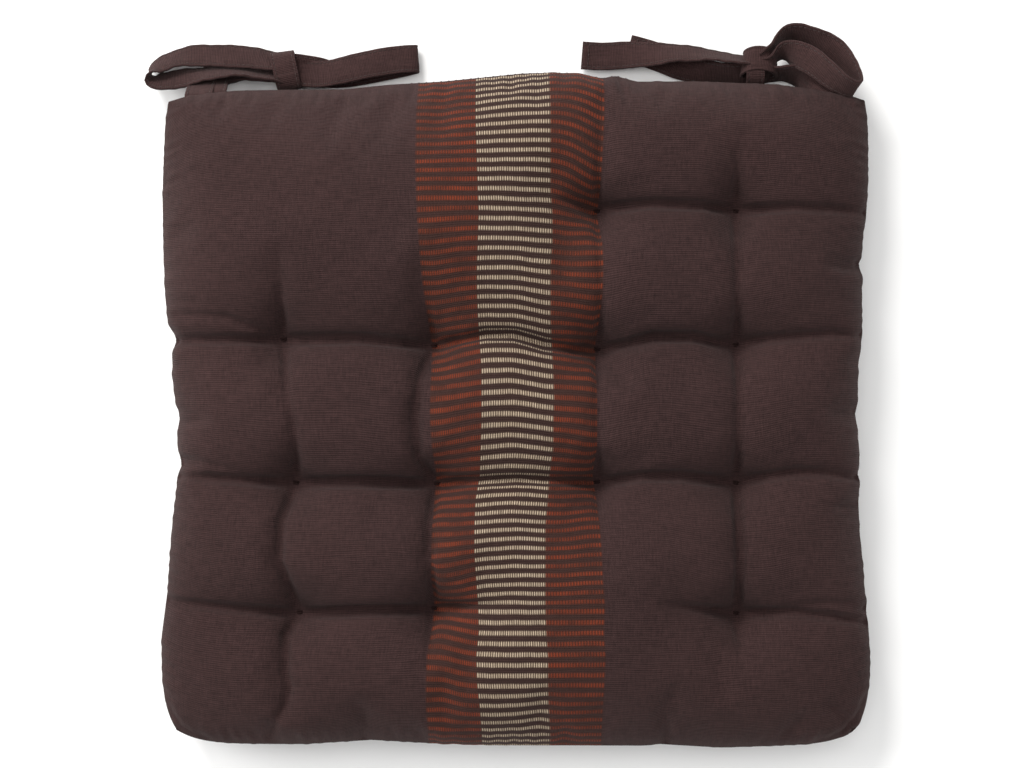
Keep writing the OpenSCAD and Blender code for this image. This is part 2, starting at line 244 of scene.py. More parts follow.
def weave(name, stripe=False, rib=1.18, warp=0.68, ribs_across=True, light=1.0):
    """Ribbed plain weave, with or without the woven stripe. UV 'weave' is in mm/1000."""
    g = Nodes(name)
    u, v = g.uv()
    # slow wander keeps the yarns from being ruler straight
    wander = g.noise(g.combine(g.math("MULTIPLY", u, 60), g.math("MULTIPLY", v, 60)), 1.0, 2.0)
    wander2 = g.noise(g.combine(g.math("MULTIPLY", u, 900), g.math("MULTIPLY", v, 260)), 1.0, 2.0)
    wv = g.math("ADD", v, g.math("MULTIPLY", g.math("SUBTRACT", wander, 0.5), 0.0007))
    wu = g.math("ADD", u, g.math("MULTIPLY", g.math("SUBTRACT", wander2, 0.5), 0.00022))
    two_pi = 2 * math.pi
    rib_wave = g.math("SINE", g.math("MULTIPLY", wv, two_pi / (rib * MM)))
    warp_wave = g.math("SINE", g.math("MULTIPLY", wu, two_pi / (warp * MM)))
    rib_h = g.math("MULTIPLY_ADD", rib_wave, 0.5, 0.5)
    warp_h = g.math("MULTIPLY_ADD", warp_wave, 0.5, 0.5)
    # yarn slubs: streaks along the ribs and finer ones along the warp
    slub = g.noise(g.combine(g.math("MULTIPLY", u, 110), g.math("MULTIPLY", v, 1100)), 1.0, 3.0, 0.6)
    slub2 = g.noise(g.combine(g.math("MULTIPLY", u, 1100), g.math("MULTIPLY", v, 130)), 1.0, 3.0, 0.6)
    cloud = g.noise(g.object_coords(), 16.0, 3.0, 0.55)
    fleck = g.noise(g.combine(g.math("MULTIPLY", u, 2600), g.math("MULTIPLY", v, 2600)), 1.0, 1.0)
    height = g.math("ADD", g.math("MULTIPLY", rib_h, 0.62), g.math("MULTIPLY", warp_h, 0.30))
    height = g.math("MULTIPLY_ADD", g.math("SUBTRACT", slub, 0.5), 0.5, height)
    # colour of the ground: painted shade between the ribs and painted light on the yarn tops, following the rib and
    # warp heights; yarn streaks, clouds and flecks vary it at random
    tone = g.math("MULTIPLY_ADD", rib_h, 0.30, 0.14)
    tone = g.math("MULTIPLY_ADD", warp_h, 0.24, tone)
    tone = g.math("ADD", tone, g.math("MULTIPLY", g.math("SUBTRACT", slub, 0.5), 0.75))
    tone = g.math("ADD", tone, g.math("MULTIPLY", g.math("SUBTRACT", slub2, 0.5), 0.80))
    tone = g.math("ADD", tone, g.math("MULTIPLY", g.math("SUBTRACT", cloud, 0.5), 0.30))
    tone = g.math("MULTIPLY_ADD", g.math("SUBTRACT", fleck, 0.5), 0.55, tone, clamp=True)
    # light scales the ground colours; above 1 it is partly painted light
    ground = g.mix(tone, tuple(c * light for c in BROWN_DARK[:3]) + (1,), tuple(c * light for c in BROWN_LIGHT[:3]) + (1,))
    color = ground
    if stripe:
        e = STRIPE_EDGES
        # bow of the weft: rows lean a little where the bands meet
        row_shift = g.math("MULTIPLY", g.math("SUBTRACT", wander, 0.5), 0.0012)
        row = g.math("FRACT", g.math("DIVIDE", g.math("ADD", v, row_shift), ROW * MM))
        up = g.step(row, 0.02, 0.20)
        down = g.step(row, 0.42, 0.62)
        in_row = g.math("SUBTRACT", up, down, clamp=True)
        dash = g.math("FRACT", g.math("DIVIDE", wu, DASH * MM))
        tri = g.math("ABSOLUTE", g.math("SUBTRACT", dash, 0.5))
        uneven = g.noise(g.combine(g.math("MULTIPLY", u, 720), g.math("MULTIPLY", v, 172)), 1.0, 1.0)
        in_dash = g.math("SUBTRACT", 1.0, g.step(g.math("ADD", tri, g.math("MULTIPLY", g.math("SUBTRACT", uneven, 0.5), 0.30)), 0.17, 0.36))
        left = g.step(u, e[0] * MM - 0.0004, e[0] * MM + 0.0004)
        cream_in = g.step(u, e[1] * MM - 0.0004, e[1] * MM + 0.0004)
        cream_out = g.step(u, e[2] * MM - 0.0004, e[2] * MM + 0.0004)
        right = g.step(u, e[3] * MM - 0.0004, e[3] * MM + 0.0004)
        band = g.math("SUBTRACT", left, right, clamp=True)
        cream = g.math("SUBTRACT", cream_in, cream_out, clamp=True)
        yarn = g.scale_to(uneven, 0.25, 0.75, 0.0, 1.0)
        worn = g.noise(g.combine(g.math("MULTIPLY", u, 55), g.math("MULTIPLY", v, 75)), 1.0, 3.0, 0.6)
        cream_color = g.mix(g.math("MULTIPLY_ADD", yarn, 0.85, 0.08, clamp=True), CREAM_DIM, CREAM)
        rust_color = g.mix(g.math("MULTIPLY_ADD", g.scale_to(worn, 0.35, 0.65, 0.0, 1.0), 0.75, g.math("MULTIPLY", yarn, 0.45), clamp=True), RUST_DIM, RUST)
        stripe_color = g.mix(cream, rust_color, cream_color)
        # rust floats show between the dashes a little, cream ones hardly
        gap = g.math("MULTIPLY_ADD", cream, -0.18, 0.34)
        shown = g.math("MULTIPLY", in_row, g.math("MAXIMUM", in_dash, gap))
        shown = g.math("MULTIPLY", shown, band, clamp=True)
        purple = g.mix(g.math("MULTIPLY", band, 0.6), ground, g.mix(cream, (0.030, 0.0135, 0.0098, 1), (0.026, 0.0132, 0.0098, 1)))
        halo = g.math("SUBTRACT", g.step(row, -0.08, 0.10), g.step(row, 0.52, 0.80), clamp=True)
        purple = g.mix(g.math("MULTIPLY", g.math("MULTIPLY", halo, g.math("SUBTRACT", band, cream, clamp=True)), 0.30), purple, RUST_DIM)
        color = g.mix(shown, purple, stripe_color)
        lift = g.math("MULTIPLY", g.math("MULTIPLY", in_row, band), g.math("MULTIPLY_ADD", in_dash, 0.7, 0.1))
        height = g.math("ADD", g.math("MULTIPLY", height, g.math("MULTIPLY_ADD", g.math("MULTIPLY", in_row, band), -0.7, 1.0)), g.math("MULTIPLY", lift, 1.3))
    bump = g.new("ShaderNodeBump")
    bump.inputs["Strength"].default_value = 0.9
    bump.inputs["Distance"].default_value = 0.00032
    g.put(bump.inputs["Height"], height)
    fine = g.new("ShaderNodeBump")
    fine.inputs["Strength"].default_value = 0.25
    fine.inputs["Distance"].default_value = 0.0012
    g.put(fine.inputs["Height"], g.noise(g.object_coords(), 160.0, 3.0, 0.6))
    g.nt.links.new(bump.outputs["Normal"], fine.inputs["Normal"])
    b = g.bsdf
    g.put(b.inputs["Base Color"], color)
    g.put(b.inputs["Roughness"], g.scale_to(rib_h, 0.0, 1.0, 0.95, 0.80))
    b.inputs["Specular IOR Level"].default_value = 0.10
    b.inputs["Sheen Weight"].default_value = 0.05
    b.inputs["Sheen Roughness"].default_value = 0.55
    b.inputs["Sheen Tint"].default_value = (0.86, 0.74, 0.72, 1)
    g.nt.links.new(fine.outputs["Normal"], b.inputs["Normal"])
    return g.mat


def thread_material(name, a, b, twist=2600.0, gloss=1.0):
    g = Nodes(name)
    c = g.object_coords()
    n1 = g.noise(c, twist, 2.0, 0.6)
    n2 = g.noise(c, 140.0, 2.0, 0.5)
    col = g.mix(g.math("ADD", g.math("MULTIPLY", n1, 0.6), g.math("MULTIPLY", n2, 0.4)), a, b)
    bump = g.new("ShaderNodeBump")
    bump.inputs["Strength"].default_value = 0.6
    bump.inputs["Distance"].default_value = 0.0001
    g.put(bump.inputs["Height"], n1)
    g.put(g.bsdf.inputs["Base Color"], col)
    g.bsdf.inputs["Roughness"].default_value = 0.72
    g.bsdf.inputs["Specular IOR Level"].default_value = 0.02 + 0.18 * gloss
    g.bsdf.inputs["Sheen Weight"].default_value = 0.12 * gloss
    g.nt.links.new(bump.outputs["Normal"], g.bsdf.inputs["Normal"])
    return g.mat


def fibre_material(name):
    g = Nodes(name)
    c = g.object_coords()
    n1 = g.noise(c, 220.0, 5.0, 0.7)
    n2 = g.noise(c, 30.0, 3.0, 0.5)
    g.put(g.bsdf.inputs["Base Color"], g.mix(n1, (0.70, 0.70, 0.67, 1), (0.93, 0.93, 0.91, 1)))
    bump = g.new("ShaderNodeBump")
    bump.inputs["Strength"].default_value = 0.8
    bump.inputs["Distance"].default_value = 0.002
    g.put(bump.inputs["Height"], g.math("ADD", n1, n2))
    g.nt.links.new(bump.outputs["Normal"], g.bsdf.inputs["Normal"])
    g.bsdf.inputs["Roughness"].default_value = 0.95
    g.bsdf.inputs["Sheen Weight"].default_value = 0.3
    return g.mat


def floor_material():
    g = Nodes("pale_floor")
    c = g.object_coords()
    n = g.noise(c, 3.0, 2.0, 0.5)
    g.put(g.bsdf.inputs["Base Color"], g.mix(n, (0.90, 0.90, 0.895, 1), (0.915, 0.915, 0.91, 1)))
    g.bsdf.inputs["Roughness"].default_value = 0.9
    g.bsdf.inputs["Specular IOR Level"].default_value = 0.1
    return g.mat


STRIPE_EDGES = (-50.6, -19.0, 22.0, 48.8)   # flat pattern mm: rust, cream, rust
MAT_TOP = weave("striped_weave", stripe=True)
MAT_PLAIN = weave("brown_weave")
# the tapes' brown is 1.16 times lighter than the cover's: partly a lighter tape, partly painted light for the light
# from the left that falls on the tapes
MAT_TAPE = weave("brown_tape_weave", rib=0.92, warp=0.80, light=1.16)
MAT_THREAD = thread_material("dark_thread", (0.022, 0.012, 0.011, 1), (0.050, 0.030, 0.028, 1))
MAT_TUFT = thread_material("tuft_thread", (0.012, 0.0065, 0.0062, 1), (0.024, 0.0130, 0.0122, 1), gloss=0.0)
MAT_FIBRE = fibre_material("white_fibre")

# ------------------------------------------------------------ the padded cover
# Plan of the cloth in mm: a grid in flat (cut) measure, s across and t front to
# back, with a line through every tuft column and row.
CROWN = 61.0
TOPZ, BOTZ = 36.0, 9.0
S_KNOTS = [-215, -134, -48, 48, 132, 215]
S_CELLS = [19, 20, 22, 19, 19]
T_KNOTS = [-220.5, -130.5, -43.5, 43.5, 130.5, 220.5]
T_CELLS = [21, 20, 20, 20, 21]
TUFTS = [(3, 4, 46, 112.5), (4, 4, 124.5, 112.5),
         (1, 3, -131, 40), (2, 3, -46, 36.5), (3, 3, 46, 34.5), (4, 3, 124.5, 37),
         (1, 2, -124, -41), (2, 2, -44.5, -41.5), (3, 2, 46, -40.5), (4, 2, 124.5, -41),
         (1, 1, -122, -114), (2, 1, -46, -112), (4, 1, 124.5, -114.6)]
LEFT = ([-192, -160, -135, -108, -81, -60, -50.4, -39.5, -31.9, -24.3, -12.4, -3.7, 6, 21.3, 34.3, 41.4, 48.5, 63.7, 90.8, 124, 151, 185],
        [-202, -202, -201.7, -198.3, -196.6, -194.8, -193.5, -192.8, -190, -192.2, -192.8, -191.1, -194.1, -195.5, -195.2, -192.8, -197.6, -199.5, -200.6, -201.1, -200.2, -199.8])
RIGHT = ([-192, -150, -126, -120, -112, -108, -98, -86, -74, -55, -42, -38, -30, -22, -9.6, -0.4, 4, 11, 26, 40, 44.6, 50, 70, 78, 83.2, 88, 104, 109, 130, 165, 185],
         [202, 202.3, 200.8, 199.6, 200.2, 198.8, 198.5, 197.4, 196.2, 195.4, 196.3, 194.9, 196, 195.4, 194.7, 193.3, 195.5, 194.9, 195.4, 197, 197.9, 197.3, 197.3, 197.8, 195.0, 197.2, 198.3, 199.5, 200.8, 201.1, 201])
BACK = ([-201, -185, -161, -130, -100, -72, -43, -10, 3, 20, 35, 50, 57, 70, 105, 150, 166, 190, 201],
        [177.3, 180, 182, 182.5, 182.7, 185.5, 187.2, 190.5, 191.8, 192.3, 192, 189, 190.6, 187.2, 187.2, 185.5, 183.5, 180.2, 178.5])
FRONT = ([-201, -161, -125, -86, -50, -11, 30, 77, 85, 122, 159, 201],
         [-190.5, -190.3, -190.3, -188, -190, -191.2, -191.2, -191.3, -190.3, -192.3, -191.3, -191])
COLS = [  # plan x of the cloth's tuft columns at different y
    ([-190, -150, -113, -75, -41, 0, 40, 113, 190], [-130, -128, -122, -129, -124, -127, -131, -130, -130]),
    ([-190, -150, -112, -75, -41, -15, 10, 36, 60, 80, 113, 150, 190], [-50, -49.5, -46.5, -47.5, -45, -49, -49.5, -46.5, -50, -53, -55, -56, -54]),
    ([-190, -115, -80, -40, 0, 35, 75, 113, 150, 190], [50, 50.5, 49.5, 46, 45.5, 46, 49, 46, 49, 50.5]),
    ([-190, -114, -80, -41, 0, 37, 75, 113, 190], [127, 124.5, 126, 124.5, 126, 124.5, 126, 124.5, 126])]
ROWS = [  # plan y of the tuft rows at different x, from the front
    ([-198, -150, -122, -82, -46, 0, 46, 90, 124.5, 160, 198], [-108, -112, -114, -112, -112, -110, -109, -111, -114.6, -113, -117]),
    ([-190, -124, -88, -44.5, 0, 46, 80, 124.5, 156, 195], [-37, -41, -39.7, -41.5, -38.5, -40.5, -36.5, -41, -35, -38.5]),
    ([-196, -162, -131, -88, -46, -17, 0, 17, 46, 77, 100, 124.5, 157, 196], [40, 40, 40, 40, 36.5, 42, 42, 37, 34.5, 41, 41, 37, 41.5, 42.5]),
    ([-200, -130, -50, 21, 46, 76, 107, 124.5, 157, 196], [114, 115, 118, 118, 112.5, 116, 115, 112.5, 114, 112])]
# folds: half width, then x, y, depth along the fold
FOLDS = [
    (36, [(21, 119, 0), (34, 116, 5), (46, 113, 15), (76, 116, 11), (107, 114.6, 12), (124.5, 112.5, 17), (157, 114, 9), (178, 113, 7), (199, 111.5, 5)]),
    (36, [(-198, 39, 5), (-162, 39.7, 9), (-131, 39.5, 16), (-88, 40.5, 13), (-62, 38, 14), (-46, 36, 17), (-30, 40, 13), (-17, 42.5, 12), (0, 42, 11), (17, 36.5, 12), (33, 34, 13), (46, 34, 17), (63, 37, 13), (77, 41, 13), (100, 41, 12), (115, 38, 14), (124.5, 37, 17), (140, 40, 11), (157, 41.5, 9), (175, 43, 7), (199, 42.5, 5)]),
    (14, [(-190, 54, 3), (-162, 52, 5), (-142, 44, 5), (-131, 40, 3)]),
    (10, [(59, 33.5, 3), (76, 37, 4), (85, 42.5, 2)]),
    (36, [(-195, -37, 4), (-159, -38.6, 9), (-124, -41, 16), (-88, -39.7, 13), (-44.5, -41.5, 17), (-23, -39.5, 11), (0, -38.5, 9), (21, -38.5, 10), (46, -41, 16), (70, -37, 12), (93, -36.5, 12), (124.5, -41, 17), (139, -37.5, 11), (156, -34.6, 10), (173, -34.6, 8), (198, -38.5, 5)]),
    (12, [(-190, -27, 3), (-165, -31.8, 3), (-150, -36, 1)]),
    (34, [(-199, -108, 4), (-179, -109, 7), (-150, -112, 10), (-122, -114.5, 16), (-82, -112, 12), (-46, -112, 16), (-23, -109.5, 6), (-5, -108, 0)]),
    (34, [(76, -107, 0), (99, -110.5, 8), (124.5, -114.6, 16), (156, -113, 10), (178, -116, 8), (199, -120, 5)]),
    (10, [(150, -110, 2), (175, -108, 4), (198, -109.5, 3)]),
    (24, [(124.5, 150, 0), (124.5, 131, 4), (124.5, 113, 12), (123.5, 90, 5), (124, 65, 5), (124.5, 37, 12), (124.5, 5, 5), (124.5, -15, 6), (124.5, -41, 13), (125, -70, 8), (125.5, -90, 8), (124.5, -114.6, 13), (126, -130, 3), (127, -148, 0)]),
    (22, [(50, 192, 2), (48, 160, 3), (46, 113, 10), (47, 90, 3), (48, 65, 3), (46, 35, 11), (46, 5, 3), (46, -20, 4), (46, -40, 11), (47, -60, 2), (48, -82, 0)]),
    (22, [(-50, 62, 0), (-46, 36, 11), (-54, 17, 6), (-56, -5, 6), (-54, -28, 7), (-44.5, -41.5, 12), (-48, -62, 6), (-48, -85, 6), (-46, -112, 11), (-48, -130, 3), (-50, -148, 0)]),
    (22, [(-131, 98, 0), (-131, 70, 2), (-131, 40, 10), (-127, 10, 3), (-123, -15, 4), (-124, -41, 12), (-131, -62, 7), (-132, -85, 7), (-122, -114, 12), (-129, -126, 9), (-129, -148, 7), (-127, -155, 7), (-129, -165, 6), (-135, -175, 4), (-139, -184, 3)]),
    (9, [(56, 196, 3), (60, 184, 4), (63, 172, 1)]),
    (12, [(196, -186, 3), (182, -172, 4), (168, -158, 1)]),
    (9, [(-196, 62, 2), (-180, 60, 2), (-168, 58, 0)]),
    (9, [(-196, -8, 2), (-178, -6, 2), (-165, -7, 0)]),
    (9, [(200, 82, 3), (184, 80, 3), (168, 82, 0)]),
    (9, [(200, -52, 2), (184, -54, 3), (168, -52, 0)]),
    (9, [(200, 2, 2), (184, 4, 2), (170, 2, 0)]),
    (8, [(-86, -194, 3), (-86, -180, 3), (-84, -166, 0)]),
    (8, [(85, -196, 3), (85, -182, 3), (83, -166, 0)]),
    (7, [(168, -187.5, 0), (178, -186, 3), (186, -182.3, 4), (193, -174.2, 4), (197.5, -166, 3), (199.4, -155.8, 0)]),
    (6, [(-166, -187.5, 0), (-178.8, -185.3, 3), (-190.1, -179.6, 4), (-194.7, -172.8, 4), (-198.6, -158.6, 0)]),
    (9, [(190, -176, 4), (180, -168, 3), (172, -160, 0)]),
    (10, [(170, -108, 0), (184, -110, 3), (199, -112, 4)]),
    (8, [(-193, -30.5, 5), (-183, -31, 3), (-172, -33, 0)]),
    (8, [(199, 83.2, 5), (188, 83, 3), (178, 83, 0)]),
    (8, [(198, -0.5, 4), (186, -1, 3), (176, -2, 0)])]

def lines(knots, cells):
    out = [knots[0]]
    for a, b, n in zip(knots[:-1], knots[1:], cells):
        out += [a + (b - a) * (i + 1) / n for i in range(n)]
    return np.array(out, float)

def cross_interp(a, knots, values):
    """piecewise linear in a between value arrays given at each knot"""
    out = np.zeros_like(a)
    for k in range(len(knots) - 1):
        m = (a >= knots[k]) & (a <= knots[k + 1])
        f = (a - knots[k]) / (knots[k + 1] - knots[k])
        out = np.where(m, values[k] * (1 - f) + values[k + 1] * f, out)
    return out

def plan():
    s = lines(S_KNOTS, S_CELLS); t = lines(T_KNOTS, T_CELLS)
    S, T = np.meshgrid(s, t)
    X = S * 0.93; Y = T * 0.86
    for _ in range(4):
        xk = [np.interp(Y, *LEFT)] + [np.interp(Y, *c) for c in COLS] + [np.interp(Y, *RIGHT)]
        X2 = cross_interp(S, S_KNOTS, xk)
        yk = [np.interp(X, *FRONT)] + [np.interp(X, *r) for r in ROWS] + [np.interp(X, *BACK)]
        Y2 = cross_interp(T, T_KNOTS, yk)
        X, Y = X2, Y2
    # wider cloth cells near the edges stay even; corners are rounded
    U = X / 201.0; V = (Y + 3) / 190.0
    U = np.clip(U, -1, 1); V = np.clip(V, -1, 1)
    edge_u = np.abs(S) / 215.0; edge_v = np.abs(T) / 220.5
    c = np.where(T > 0, 0.012, 0.045)
    X = X * (1 - c * edge_v ** 14)
    Y = -3 + (Y + 3) * (1 - c * edge_u ** 14)
    rise = np.sqrt(np.clip(1 - edge_u ** 4.2, 0, 1)) * np.sqrt(np.clip(1 - edge_v ** 4.2, 0, 1))
    return s, t, S, T, X, Y, rise

def fold_depth(X, Y, scale=1.0, width=None, power=2.0):
    """how far the folds draw the top down at each point"""
    tot = np.zeros_like(X)
    for w, pts in FOLDS:
        if width is not None: w = width
        best = np.zeros_like(X)
        for (x0, y0, d0), (x1, y1, d1) in zip(pts[:-1], pts[1:]):
            dx, dy = x1 - x0, y1 - y0
            f = np.clip(((X - x0) * dx + (Y - y0) * dy) / (dx * dx + dy * dy), 0, 1)
            r = np.hypot(X - x0 - f * dx, Y - y0 - f * dy)
            best = np.maximum(best, (d0 + (d1 - d0) * f) * np.clip(1 - r / w, 0, 1) ** power)
        tot += best ** 3
    return scale * tot ** (1 / 3.0)

def tuft_pull(X, Y, r):
    g = np.zeros_like(X)
    for (_, _, tx, ty) in TUFTS:
        g = np.maximum(g, np.exp(-((X - tx) ** 2 + (Y - ty) ** 2) / r ** 2))
    return g


def build_cloth():
    """The sewn cover, tufted and swollen by its filling. Returns both grids in mm."""
    s, t, S, T, X, Y, rise = plan()
    nt, ns = S.shape
    ci, ri = np.cumsum([0] + S_CELLS), np.cumsum([0] + T_CELLS)
    bound = np.zeros_like(S, bool)
    bound[0] = bound[-1] = True
    bound[:, 0] = bound[:, -1] = True
    idt = np.arange(ns * nt).reshape(nt, ns)
    idb = idt.copy()
    inner = ~bound
    idb[inner] = ns * nt + np.arange(inner.sum())
    D = fold_depth(X, Y, 1.0)
    Zt = SEAM_Z + (CROWN - SEAM_Z - D) * rise
    Zt = Zt - (Zt - TOPZ) * tuft_pull(X, Y, 11) * 0.9
    Zt[bound] = SEAM_Z
    Zb = np.maximum(SEAM_Z * (1 - rise * 1.2), 0)
    Zb = Zb + (BOTZ - Zb) * tuft_pull(X, Y, 15)
    co = np.concatenate([np.stack([X, Y, Zt], -1).reshape(-1, 3), np.stack([X, Y, Zb], -1)[inner]]) * MM
    pin = set(idt[bound].tolist())
    for (cc, rr, tx, ty) in TUFTS:
        i, j = ci[cc], ri[rr]
        for idd, sg in ((idt, 1), (idb, -1)):
            q0 = int(idd[j, i])
            pin.add(q0)
            co[q0] = np.array([tx, ty, TOPZ if sg > 0 else BOTZ]) * MM
            for (di, dj) in ((1, 0), (-1, 0), (0, 1), (0, -1)):
                q = int(idd[j + dj, i + di])
                pin.add(q)
                co[q] = co[q0] + np.array([di * 2.8, dj * 2.8, sg * 1.0]) * MM
    j, i = np.meshgrid(np.arange(nt - 1), np.arange(ns - 1), indexing="ij")
    top = np.stack([idt[j, i], idt[j, i + 1], idt[j + 1, i + 1], idt[j + 1, i]], -1).reshape(-1, 4)
    low = np.stack([idb[j, i], idb[j + 1, i], idb[j + 1, i + 1], idb[j, i + 1]], -1).reshape(-1, 4)
    ob = mesh_object("cloth_work", co, np.concatenate([top, low]), smooth=False)
    vg = ob.vertex_groups.new(name="pin")
    vg.add(sorted(pin), 1.0, "REPLACE")
    result = co * 1000
    m = ob.modifiers.new("Cloth", "CLOTH")
    st = m.settings
    st.quality = 6
    st.mass = 0.15
    st.air_damping = 2.0
    st.tension_stiffness, st.compression_stiffness = 12.0, 4.0
    st.shear_stiffness, st.bending_stiffness = 4.0, 12.0
    st.tension_damping = st.compression_damping = st.shear_damping = 8.0
    st.bending_damping = 0.8
    st.use_pressure = True
    st.uniform_pressure_force = 30.0
    st.vertex_group_mass = "pin"
    st.pin_stiffness = 1.0
    st.shrink_min = -0.018
    st.effector_weights.gravity = 0.0
    m.collision_settings.use_collision = False
    m.collision_settings.use_self_collision = False
    last = 14
    m.point_cache.frame_start, m.point_cache.frame_end = 1, last + 1
    for f in range(1, last + 1):
        scene.frame_set(f)
    dg = bpy.context.evaluated_depsgraph_get()
    ev = ob.evaluated_get(dg)
    me = ev.to_mesh()
    c = np.empty(len(me.vertices) * 3)
    me.vertices.foreach_get("co", c)
    result = c.reshape(-1, 3) * 1000
    ev.to_mesh_clear()
    scene.frame_set(1)
    bpy.data.objects.remove(ob, do_unlink=True)
    return S, T, result[idt], result[idb], ci, ri


def soften(g, keep, times, k):
    """Evens a grid out a little, leaving the kept points where they are."""
    g = g.copy()
    for _ in range(times):
        m = g.copy()
        m[1:-1, 1:-1] = 0.25 * (g[:-2, 1:-1] + g[2:, 1:-1] + g[1:-1, :-2] + g[1:-1, 2:])
        g = np.where(keep[..., None], g, g + (m - g) * k)
    return g


def finer(g):
    """Twice as many cells both ways, on a smooth surface through the points."""
    for axis in (0, 1):
        g = np.moveaxis(g, axis, 0)
        pad = np.concatenate([2 * g[:1] - g[1:2], g, 2 * g[-1:] - g[-2:-1]])
        mid = (-pad[:-3] + 9 * pad[1:-2] + 9 * pad[2:-1] - pad[3:]) / 16
        out = np.empty((2 * len(g) - 1,) + g.shape[1:])
        out[0::2] = g
        out[1::2] = mid
        g = np.moveaxis(out, 0, axis)
    return g


def even_rows(points, flat, knots):
    """Flat measure front to back, spread evenly along the cloth between the tuft rows."""
    seg = np.linalg.norm(np.diff(points, axis=0), axis=2)
    run = np.concatenate([np.zeros((1, points.shape[1])), np.cumsum(seg, 0)])
    out = flat.copy()
    for a, b in zip(knots[:-1], knots[1:]):
        f = (run[a:b + 1] - run[a]) / (run[b] - run[a])
        k = np.ones(17) / 17
        f = np.apply_along_axis(lambda r: np.convolve(np.pad(r, 8, mode="edge"), k, "valid"), 1, f)
        out[a:b + 1] = flat[a] + (flat[b] - flat[a]) * f
    return out


def grid_object(name, pts, U, V, up=True, smooth=True):
    nt, ns = U.shape
    ids = np.arange(nt * ns).reshape(nt, ns)
    a, b, c, d = ids[:-1, :-1], ids[:-1, 1:], ids[1:, 1:], ids[1:, :-1]
    faces = np.stack([a, b, c, d] if up else [a, d, c, b], -1).reshape(-1, 4)
    ob = mesh_object(name, pts.reshape(-1, 3) * MM, faces, smooth)
    uv = ob.data.uv_layers.new(name="weave")
    flat = np.stack([U, V], -1).reshape(-1, 2) * MM
    loops = np.empty(len(ob.data.loops), int)
    ob.data.loops.foreach_get("vertex_index", loops)
    uv.data.foreach_set("uv", flat[loops].astype(np.float32).ravel())
    return ob


def normals_of(g):
    du = np.gradient(g, axis=1)
    dv = np.gradient(g, axis=0)
    n = np.cross(du, dv)
    return n / np.maximum(np.linalg.norm(n, axis=2, keepdims=True), 1e-9)


S0, T0, top_g, low_g, CI, RI = build_cloth()
keep = np.zeros(S0.shape, bool)
keep[0] = keep[-1] = keep[:, 0] = keep[:, -1] = True
for (cc, rr, _x, _y) in TUFTS:
    keep[RI[rr] - 1:RI[rr] + 2, CI[cc] - 1:CI[cc] + 2] = True
top_g = soften(top_g, keep, 2, 0.45)
low_g = soften(low_g, keep, 2, 0.45)
low_g[..., 2] = np.maximum(low_g[..., 2], 0.25)
top_g[..., 2] = np.where(keep, top_g[..., 2], np.maximum(top_g[..., 2], SEAM_Z + 0.3))

top_f, S1, T1 = (finer(finer(a)) for a in (top_g, S0[..., None], T0[..., None]))
S1, T1 = S1[..., 0], T1[..., 0]
nrm = normals_of(top_f)
edge = np.minimum(215 - np.abs(S1), 220.5 - np.abs(T1))
# creases pressed in along the folds, and small gathers along the seam
near = tuft_pull(top_f[..., 0], top_f[..., 1], 7.0)
crease = (fold_depth(top_f[..., 0], top_f[..., 1], 0.16, 8.0, 1.6)
          + fold_depth(top_f[..., 0], top_f[..., 1], 0.30, 3.6, 1.0)) * (1 - 0.75 * near)
along_edge = np.where(215 - np.abs(S1) < 220.5 - np.abs(T1), T1, S1)
pucker = (np.sin(along_edge * 0.62 + 1.7 * np.sin(along_edge * 0.11)) * 0.5
          + 0.5 * hash_noise(along_edge * 0.31, edge * 0.05, 2.0))
pucker = pucker * np.exp(-((edge - 6.0) / 7.5) ** 2) * 0.5
wander = 0.35 * hash_noise(S1 * 0.045, T1 * 0.05, 1.0) + 0.12 * hash_noise(S1 * 0.21, T1 * 0.17, 4.0)
inside = np.clip(edge / 12.0, 0, 1)
top_f = top_f + nrm * (pucker - crease + wander * inside)[..., None]
top_f[..., 2] = np.maximum(top_f[..., 2], SEAM_Z)
rim = np.zeros(S1.shape, bool)
rim[0] = rim[-1] = rim[:, 0] = rim[:, -1] = True
top_f[rim] = finer(finer(top_g))[rim]
low_g_rim = low_g.copy()
# the seam sits in a shallow groove between the two panels
for g in (top_f, low_g_rim):
    c = np.array([0.0, -3.0, 0.0])
    for sl in ((0, slice(None)), (-1, slice(None)), (slice(None), 0), (slice(None), -1)):
        r = g[sl]
        d = r - c
        d[:, 2] = 0
        g[sl] = r - d * (0.9 / np.maximum(np.hypot(d[:, 0], d[:, 1]), 1))[:, None]
# where the woven bands run: y, then the four edges of the bands across x
BANDS = np.array([
    (190, -54.5, -22.5, 19.0, 50.0), (167, -55.5, -22.5, 19.5, 50.0), (138, -55.5, -21.5, 19.5, 48.5),
    (123, -55.0, -21.0, 19.5, 47.5), (110, -54.5, -20.5, 20.5, 46.0), (94, -53.5, -21.0, 20.5, 48.5),
    (80, -52.5, -21.5, 19.5, 49.0), (65, -51.0, -21.5, 19.5, 48.5), (51, -49.0, -21.0, 19.5, 47.0),
    (36, -47.0, -20.0, 20.5, 45.0), (22, -47.0, -19.0, 21.0, 45.0), (7, -47.5, -19.0, 21.5, 45.5),
    (-7, -47.5, -19.0, 21.0, 45.5), (-21, -46.5, -19.5, 21.0, 45.5), (-36, -44.5, -20.0, 19.0, 43.5),
    (-50, -45.5, -22.5, 18.0, 45.5), (-65, -46.5, -23.0, 16.5, 47.0), (-79, -47.0, -23.0, 16.5, 48.0),
    (-94, -47.0, -22.0, 16.5, 48.5), (-108, -45.5, -21.0, 16.5, 49.5), (-123, -47.0, -20.5, 17.0, 49.0),
    (-137, -49.5, -22.0, 18.0, 50.0), (-152, -50.0, -21.5, 18.0, 49.5), (-166, -50.0, -20.0, 18.5, 49.0),
    (-181, -49.0, -19.0, 19.5, 48.5)])[::-1]


